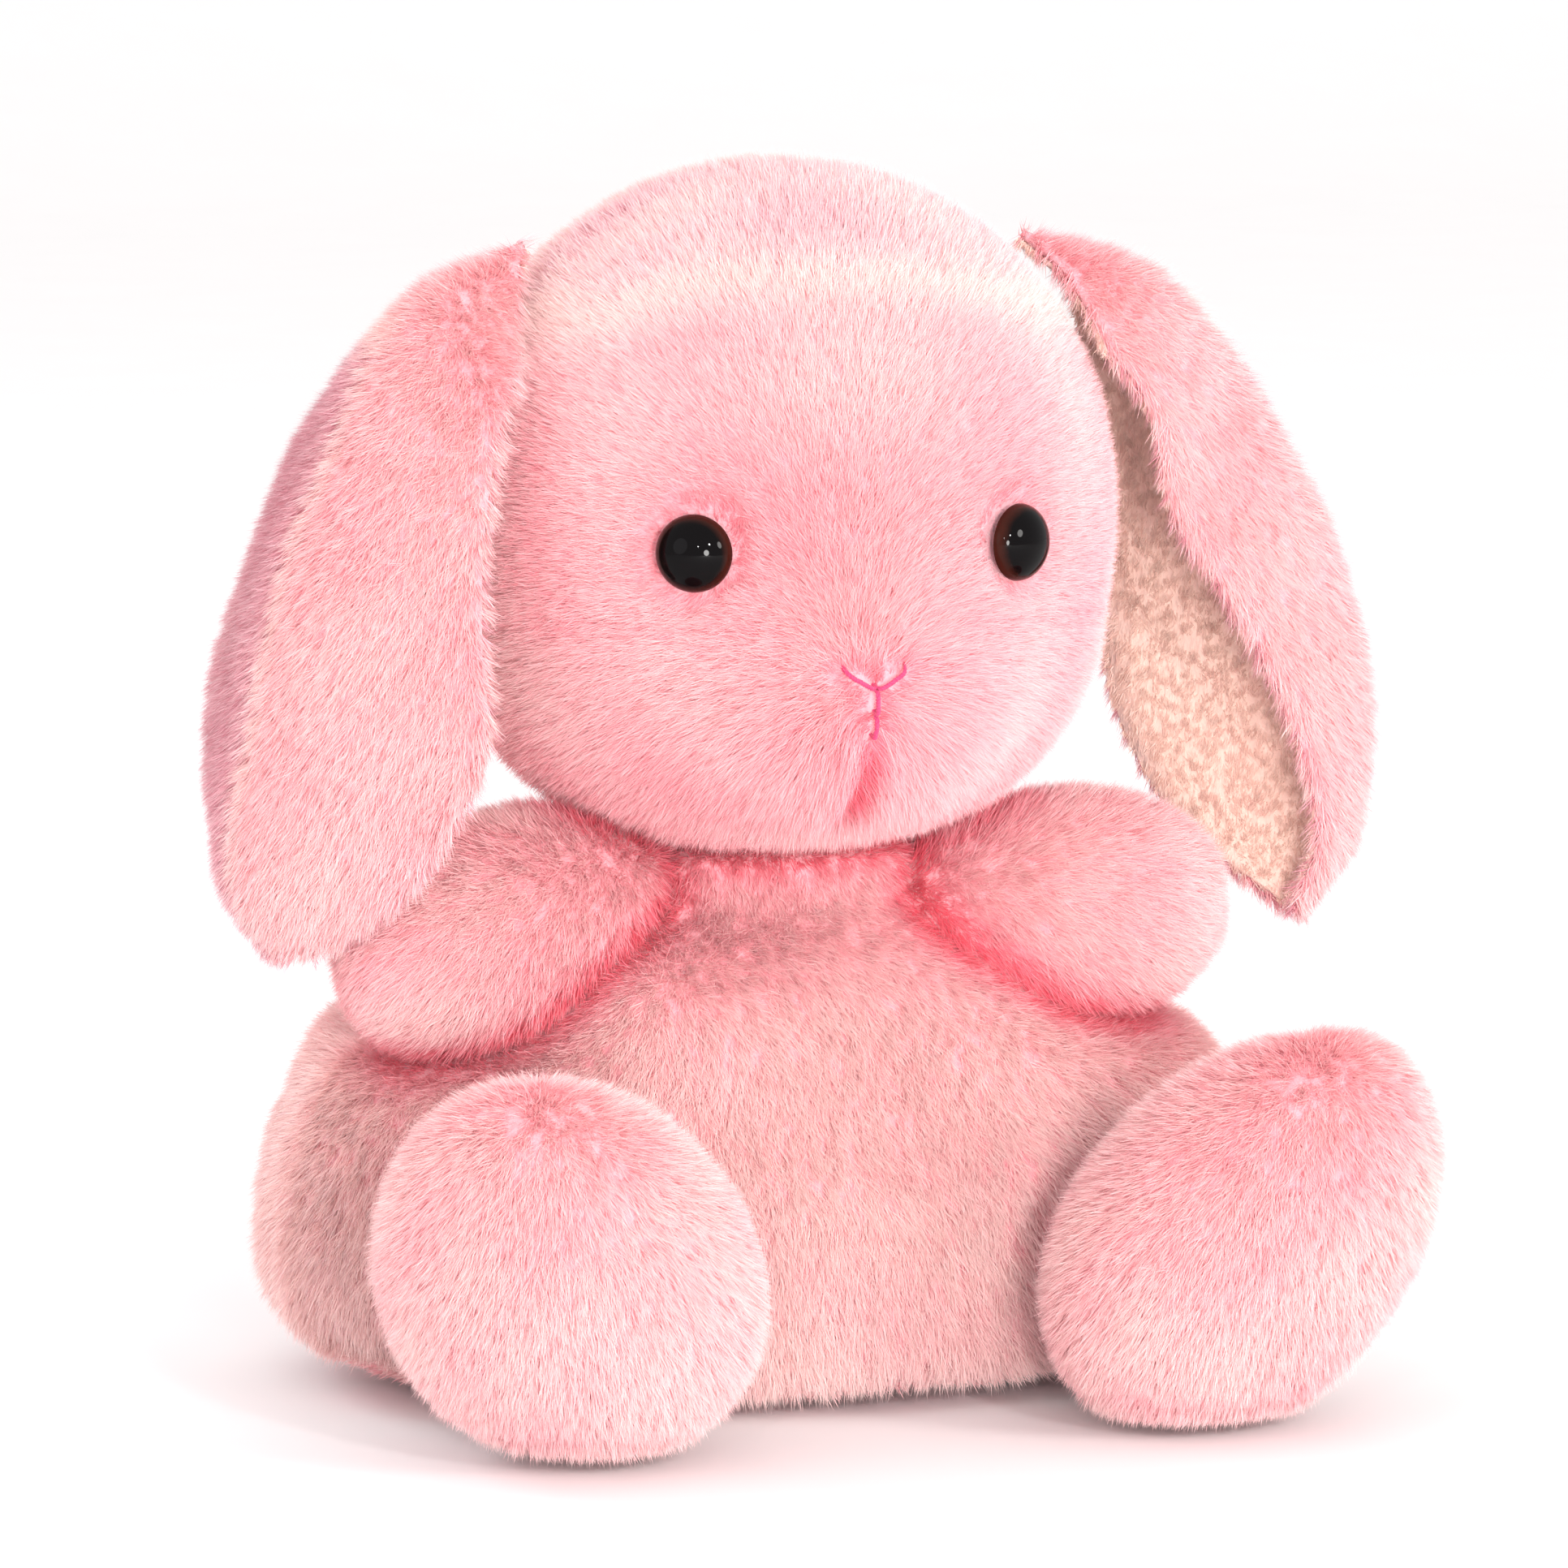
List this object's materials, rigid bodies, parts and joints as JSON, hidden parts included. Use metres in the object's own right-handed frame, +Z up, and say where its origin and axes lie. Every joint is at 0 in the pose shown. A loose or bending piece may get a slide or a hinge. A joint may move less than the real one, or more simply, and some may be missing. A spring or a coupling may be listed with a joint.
{
  "type": "stuffed bunny",
  "caption": "Small sitting stuffed bunny with hanging folded ears, long soft pile, a pellet-weighted seat, and sewn head, arms and feet that move.",
  "frame": {"origin": "middle of the flat seat, on the surface it sits on", "axes": "+Z up, the face looks along -Y, +X is the toy's own left side"},
  "size_m": [0.1301, 0.1196, 0.1292],
  "materials": {
    "pile_fabric": "soft",
    "ear_lining": "soft",
    "stuffing": "soft",
    "pellet_pouch": "matt",
    "thread": "satin",
    "eye": "gloss",
    "washer": "matt"
  },
  "bodies": {
    "torso": {"belly_panel": "pile_fabric", "seat_panel": "pile_fabric", "haunch_panel_left": "pile_fabric", "haunch_panel_right": "pile_fabric", "back_panel_left": "pile_fabric", "back_panel_right": "pile_fabric", "pellet_pouch": "pellet_pouch", "torso_stuffing": "stuffing", "tail_cover": "pile_fabric", "tail_stuffing": "stuffing"},
    "neck": {"neck_stuffing": "stuffing"},
    "head": {"forehead_panel": "pile_fabric", "cheek_panel_left": "pile_fabric", "cheek_panel_right": "pile_fabric", "head_back_panel_left": "pile_fabric", "head_back_panel_right": "pile_fabric", "head_stuffing": "stuffing", "eye_left": "eye", "eye_right": "eye", "eye_washer_left": "washer", "eye_washer_right": "washer", "nose_stitching": "thread", "mouth_stitching": "thread"},
    "ear_left": {"ear_outer_left": "pile_fabric", "ear_lining_left": "ear_lining"},
    "ear_right": {"ear_outer_right": "pile_fabric", "ear_lining_right": "ear_lining"},
    "arm_left": {"arm_front_panel_left": "pile_fabric", "arm_rear_panel_left": "pile_fabric", "arm_left_stuffing": "stuffing"},
    "arm_right": {"arm_front_panel_right": "pile_fabric", "arm_rear_panel_right": "pile_fabric", "arm_right_stuffing": "stuffing"},
    "foot_left": {"foot_top_panel_left": "pile_fabric", "foot_sole_panel_left": "pile_fabric", "foot_left_stuffing": "stuffing"},
    "foot_right": {"foot_top_panel_right": "pile_fabric", "foot_sole_panel_right": "pile_fabric", "foot_right_stuffing": "stuffing"}
  },
  "joints": [
    {"name": "head_turn", "type": "hinge", "parent": "torso", "child": "neck", "pos_m": [0, -0.002, 0.0547], "axis": [0, 0, 1], "range_deg": [-20, 20], "stiffness_Nm_per_rad": 0.02},
    {"name": "head_nod", "type": "hinge", "parent": "neck", "child": "head", "pos_m": [0, -0.002, 0.0547], "axis": [1, 0, 0], "range_deg": [-8, 8], "stiffness_Nm_per_rad": 0.25},
    {"name": "ear_left_lift", "type": "hinge", "parent": "head", "child": "ear_left", "pos_m": [0.0302, -0.0087, 0.1154], "axis": [0.347, -0.753, -0.559], "range_deg": [0, 60]},
    {"name": "ear_right_lift", "type": "hinge", "parent": "head", "child": "ear_right", "pos_m": [-0.0302, -0.0087, 0.1154], "axis": [0.347, 0.753, 0.559], "range_deg": [0, 60]},
    {"name": "arm_left_hug", "type": "hinge", "parent": "torso", "child": "arm_left", "pos_m": [0.013, -0.017, 0.048], "axis": [0, 0, -1], "range_deg": [0, 28], "stiffness_Nm_per_rad": 0.004},
    {"name": "arm_right_hug", "type": "hinge", "parent": "torso", "child": "arm_right", "pos_m": [-0.013, -0.017, 0.048], "axis": [0, 0, 1], "range_deg": [0, 28], "stiffness_Nm_per_rad": 0.004},
    {"name": "foot_left_lift", "type": "hinge", "parent": "torso", "child": "foot_left", "pos_m": [0.0256, -0.0333, 0.022], "axis": [-0.7934, -0.6088, 0], "range_deg": [0, 25]},
    {"name": "foot_right_lift", "type": "hinge", "parent": "torso", "child": "foot_right", "pos_m": [-0.0256, -0.0333, 0.022], "axis": [-0.7934, 0.6088, 0], "range_deg": [0, 25]}
  ]
}
